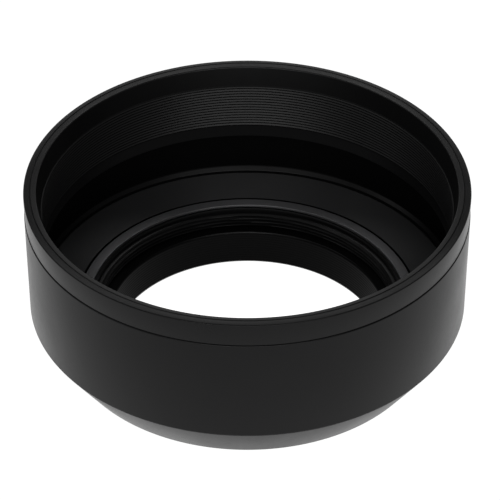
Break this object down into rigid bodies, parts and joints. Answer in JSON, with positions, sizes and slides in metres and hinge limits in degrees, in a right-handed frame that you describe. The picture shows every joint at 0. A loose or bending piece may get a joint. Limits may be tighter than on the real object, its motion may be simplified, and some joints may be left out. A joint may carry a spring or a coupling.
{
  "type": "lens hood",
  "caption": "Collapsible ribbed rubber lens hood on a threaded mount ring, folded to its shortest position, with a front tube that pulls out.",
  "frame": {"origin": "on the axis, at the rear end of the male thread, which the hood stands on", "axes": "+Z along the optical axis, from the lens towards the subject; the part is round about Z"},
  "size_m": [0.08, 0.08, 0.0363],
  "materials": {
    "rubber": "moulded black rubber, matte with a soft sheen at grazing angles",
    "black_metal": "turned aluminium, matte black finish, fine grooves in the bore",
    "satin_metal": "turned aluminium, satin black finish with concentric turning marks"
  },
  "bodies": {
    "rear_stage": {"mount_ring": "black_metal", "clamp_ring": "satin_metal", "base_collar": "rubber", "outer_skirt": "rubber", "fold_web": "rubber"},
    "front_stage": {"front_tube": "rubber"}
  },
  "joints": [
    {"name": "front_pull_out", "type": "slide", "parent": "rear_stage", "child": "front_stage", "axis": [0, 0, 1], "range_m": [0, 0.021], "deforming": ["fold_web"]}
  ]
}
